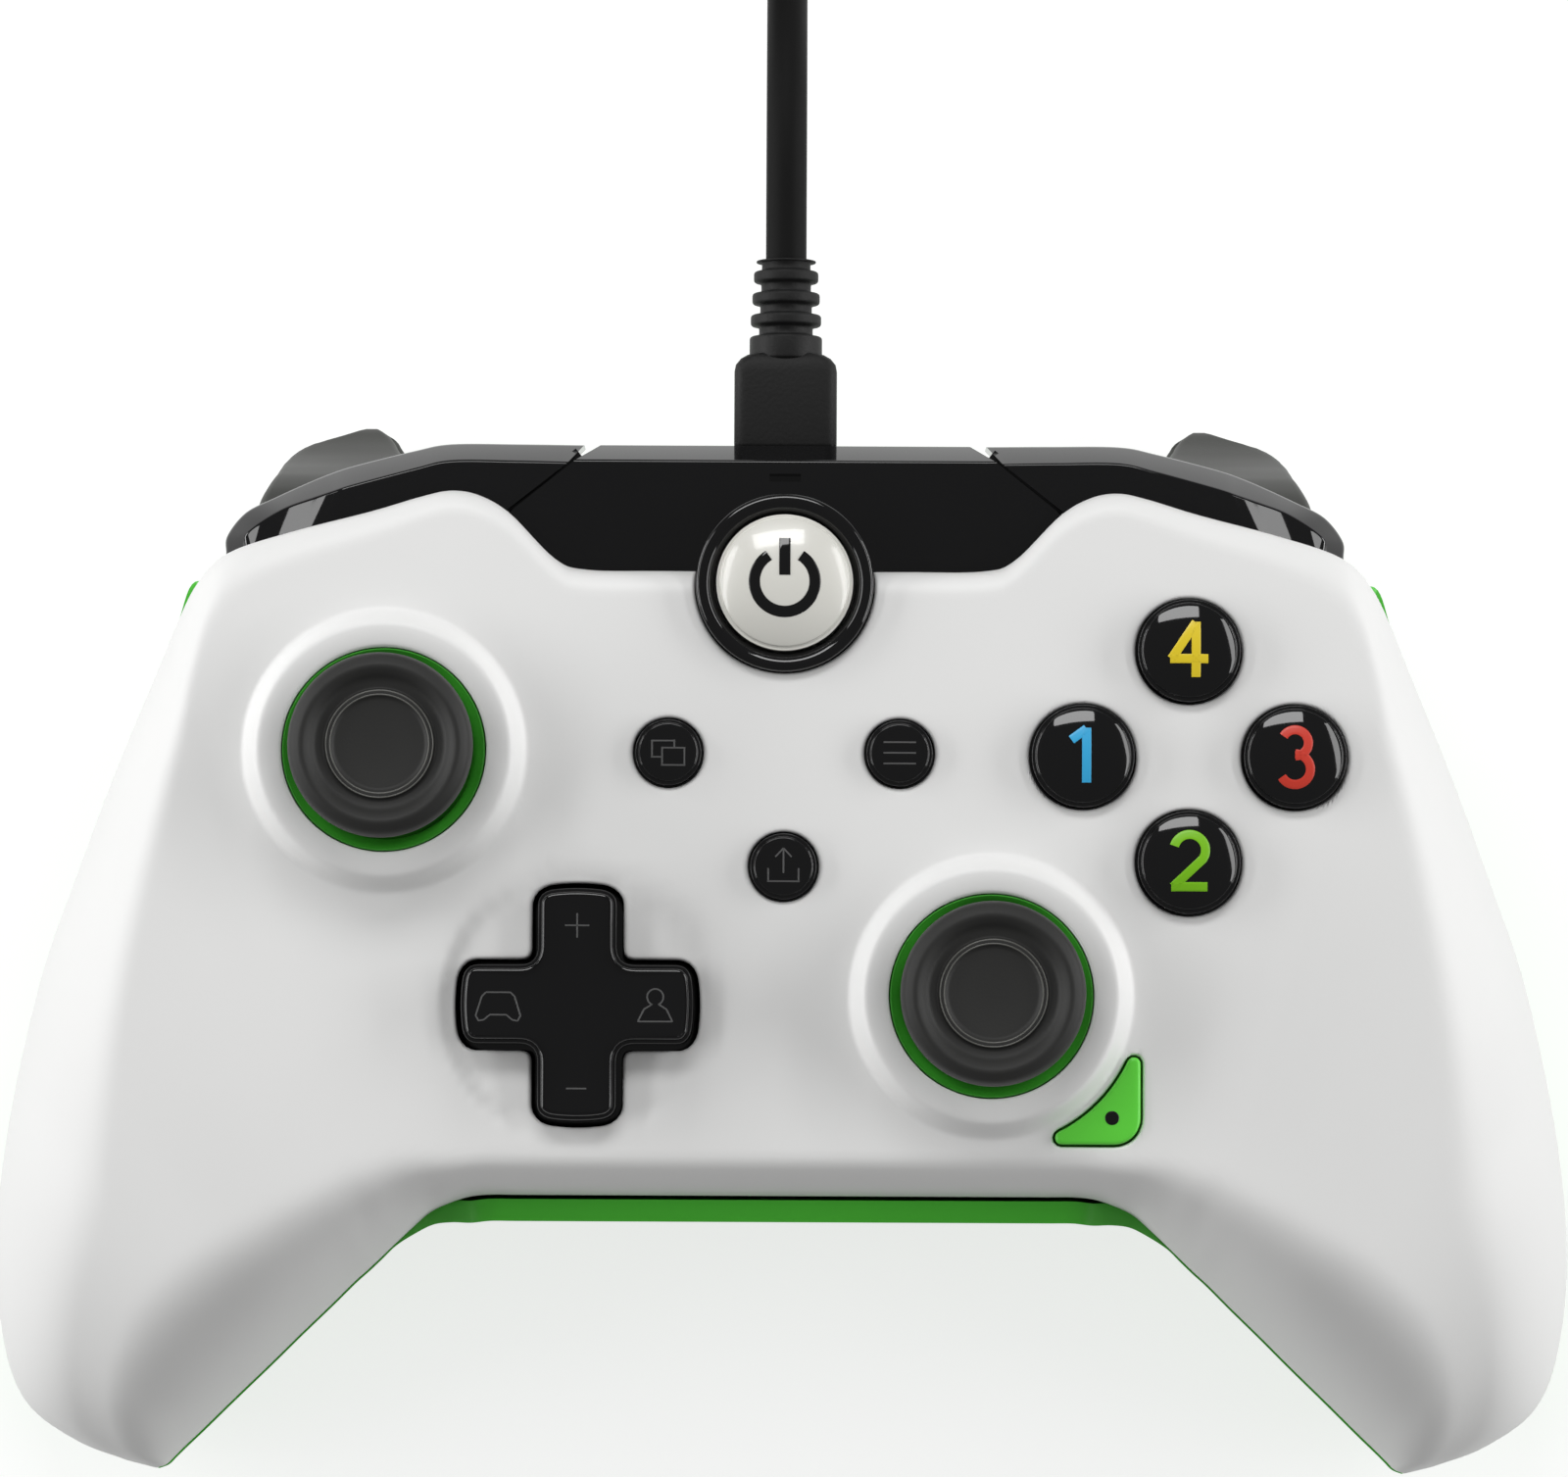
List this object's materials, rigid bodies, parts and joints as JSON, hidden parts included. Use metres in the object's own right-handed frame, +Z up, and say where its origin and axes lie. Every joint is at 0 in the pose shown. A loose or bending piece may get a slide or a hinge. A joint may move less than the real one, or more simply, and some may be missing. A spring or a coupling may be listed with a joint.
{
  "type": "wired gamepad controller",
  "caption": "Two-handed game controller with a white front shell, green rear shell, tilting thumb sticks, direction pad, round buttons, bumpers, triggers and a coiled plug-in cable.",
  "frame": {"origin": "on the table under the middle of the controller without its cable", "axes": "+X to the right of the face, +Y towards the cable, +Z up out of the face"},
  "size_m": [0.1596, 0.2497, 0.0534],
  "materials": {
    "white_shell": "soft matte",
    "green_shell": "matte",
    "black_gloss": "high gloss",
    "trigger_grey": "satin",
    "pearl": "gloss",
    "black_matte": "matte",
    "grey_rubber": "matte",
    "steel": "bare",
    "brass_weight": "bare",
    "silicone": "matte",
    "circuit_board": "solder mask",
    "cable_rubber": "matte"
  },
  "bodies": {
    "controller": {"front_shell": "white_shell", "rear_shell": "green_shell", "top_bridge": "black_gloss", "guide_bezel": "black_gloss", "left_trigger_frame": "black_matte", "right_trigger_frame": "black_matte", "trigger_pins": "steel", "trigger_springs": "steel", "left_stick_ring": "green_shell", "right_stick_ring": "green_shell", "left_stick_base": "black_matte", "right_stick_base": "black_matte", "dpad_post": "black_matte", "face_keypad": "silicone", "centre_keypad": "silicone", "dpad_keypad": "silicone", "main_board": "circuit_board", "usb_socket": "steel", "headset_jack": "black_matte", "switches": "black_matte", "left_rumble_motor": "steel", "right_rumble_motor": "steel", "shell_screws": "steel", "board_screws": "steel", "cable_plug": "black_matte", "cable_plug_tip": "steel", "cable_lead": "cable_rubber", "cable_coil": "cable_rubber", "cable_tail": "cable_rubber", "usb_plug": "black_matte", "usb_plug_shell": "steel", "cable_tie": "cable_rubber"},
    "left_yoke": {"left_stick_yoke": "steel"},
    "left_ball": {"left_stick_ball": "steel"},
    "left_stick": {"left_stick_shaft": "steel", "left_stick_cap": "grey_rubber"},
    "right_yoke": {"right_stick_yoke": "steel"},
    "right_ball": {"right_stick_ball": "steel"},
    "right_stick": {"right_stick_shaft": "steel", "right_stick_cap": "grey_rubber"},
    "pad_spider": {"dpad_pivot": "steel"},
    "pad": {"dpad": "black_gloss"},
    "top_button": {"top_button": "black_gloss"},
    "left_button": {"left_button": "black_gloss"},
    "right_button": {"right_button": "black_gloss"},
    "bottom_button": {"bottom_button": "black_gloss"},
    "view_button": {"view_button": "black_gloss"},
    "menu_button": {"menu_button": "black_gloss"},
    "share_button": {"share_button": "black_gloss"},
    "guide_button": {"guide_button": "pearl"},
    "function_button": {"function_button": "green_shell"},
    "left_bumper": {"left_bumper": "black_gloss"},
    "left_trigger": {"left_trigger": "trigger_grey"},
    "left_weight": {"left_rumble_weight": "brass_weight"},
    "right_bumper": {"right_bumper": "black_gloss"},
    "right_trigger": {"right_trigger": "trigger_grey"},
    "right_weight": {"right_rumble_weight": "brass_weight"}
  },
  "joints": [
    {"name": "left_stick_back_forth", "type": "hinge", "parent": "controller", "child": "left_yoke", "pos_m": [-0.0394, 0.0181, 0.0314], "axis": [1, 0, 0], "range_deg": [-12, 12], "stiffness_Nm_per_rad": 0.1},
    {"name": "left_stick_side", "type": "hinge", "parent": "left_yoke", "child": "left_ball", "pos_m": [-0.0394, 0.0181, 0.0314], "axis": [0, 1, 0], "range_deg": [-12, 12], "stiffness_Nm_per_rad": 0.1},
    {"name": "left_stick_click", "type": "slide", "parent": "left_ball", "child": "left_stick", "axis": [0, 0, -1], "range_m": [0, 0.0006], "stiffness_N_per_m": 3000},
    {"name": "right_stick_back_forth", "type": "hinge", "parent": "controller", "child": "right_yoke", "pos_m": [0.0205, -0.0059, 0.0314], "axis": [1, 0, 0], "range_deg": [-12, 12], "stiffness_Nm_per_rad": 0.1},
    {"name": "right_stick_side", "type": "hinge", "parent": "right_yoke", "child": "right_ball", "pos_m": [0.0205, -0.0059, 0.0314], "axis": [0, 1, 0], "range_deg": [-12, 12], "stiffness_Nm_per_rad": 0.1},
    {"name": "right_stick_click", "type": "slide", "parent": "right_ball", "child": "right_stick", "axis": [0, 0, -1], "range_m": [0, 0.0006], "stiffness_N_per_m": 3000},
    {"name": "pad_up_down", "type": "hinge", "parent": "controller", "child": "pad_spider", "pos_m": [-0.0202, -0.0069, 0.0353], "axis": [1, 0, 0], "range_deg": [-2.5, 2.5], "stiffness_Nm_per_rad": 0.3, "deforming": ["dpad_keypad"]},
    {"name": "pad_left_right", "type": "hinge", "parent": "pad_spider", "child": "pad", "pos_m": [-0.0202, -0.0069, 0.0353], "axis": [0, 1, 0], "range_deg": [-2.5, 2.5], "stiffness_Nm_per_rad": 0.3, "deforming": ["dpad_keypad"]},
    {"name": "top_button_press", "type": "slide", "parent": "controller", "child": "top_button", "axis": [0, 0, -1], "range_m": [0, 0.0012], "stiffness_N_per_m": 400, "deforming": ["face_keypad"]},
    {"name": "left_button_press", "type": "slide", "parent": "controller", "child": "left_button", "axis": [0, 0, -1], "range_m": [0, 0.0012], "stiffness_N_per_m": 400, "deforming": ["face_keypad"]},
    {"name": "right_button_press", "type": "slide", "parent": "controller", "child": "right_button", "axis": [0, 0, -1], "range_m": [0, 0.0012], "stiffness_N_per_m": 400, "deforming": ["face_keypad"]},
    {"name": "bottom_button_press", "type": "slide", "parent": "controller", "child": "bottom_button", "axis": [0, 0, -1], "range_m": [0, 0.0012], "stiffness_N_per_m": 400, "deforming": ["face_keypad"]},
    {"name": "view_button_press", "type": "slide", "parent": "controller", "child": "view_button", "axis": [0, 0, -1], "range_m": [0, 0.0009], "stiffness_N_per_m": 500, "deforming": ["centre_keypad"]},
    {"name": "menu_button_press", "type": "slide", "parent": "controller", "child": "menu_button", "axis": [0, 0, -1], "range_m": [0, 0.0009], "stiffness_N_per_m": 500, "deforming": ["centre_keypad"]},
    {"name": "share_button_press", "type": "slide", "parent": "controller", "child": "share_button", "axis": [0, 0, -1], "range_m": [0, 0.0009], "stiffness_N_per_m": 500, "deforming": ["centre_keypad"]},
    {"name": "guide_button_press", "type": "slide", "parent": "controller", "child": "guide_button", "axis": [0, 0, -1], "range_m": [0, 0.0008], "stiffness_N_per_m": 500, "deforming": ["centre_keypad"]},
    {"name": "function_button_press", "type": "slide", "parent": "controller", "child": "function_button", "axis": [0, 0, -1], "range_m": [0, 0.0006], "stiffness_N_per_m": 1200},
    {"name": "left_bumper_press", "type": "hinge", "parent": "controller", "child": "left_bumper", "pos_m": [-0.0298, 0.0404, 0.036], "axis": [0, 0, 1], "range_deg": [0, 2.2], "stiffness_Nm_per_rad": 1},
    {"name": "left_trigger_pull", "type": "hinge", "parent": "controller", "child": "left_trigger", "pos_m": [-0.0446, 0.0382, 0.029], "axis": [-1, 0, 0], "range_deg": [0, 18], "stiffness_Nm_per_rad": 0.12, "springref_deg": -20.05},
    {"name": "left_weight_spin", "type": "hinge", "parent": "controller", "child": "left_weight", "pos_m": [-0.064, -0.0095, 0.017], "axis": [0, 1, 0], "continuous": true},
    {"name": "right_bumper_press", "type": "hinge", "parent": "controller", "child": "right_bumper", "pos_m": [0.0298, 0.0404, 0.036], "axis": [0, 0, -1], "range_deg": [0, 2.2], "stiffness_Nm_per_rad": 1},
    {"name": "right_trigger_pull", "type": "hinge", "parent": "controller", "child": "right_trigger", "pos_m": [0.0446, 0.0382, 0.029], "axis": [-1, 0, 0], "range_deg": [0, 18], "stiffness_Nm_per_rad": 0.12, "springref_deg": -20.05},
    {"name": "right_weight_spin", "type": "hinge", "parent": "controller", "child": "right_weight", "pos_m": [0.064, -0.0095, 0.017], "axis": [0, 1, 0], "continuous": true}
  ]
}
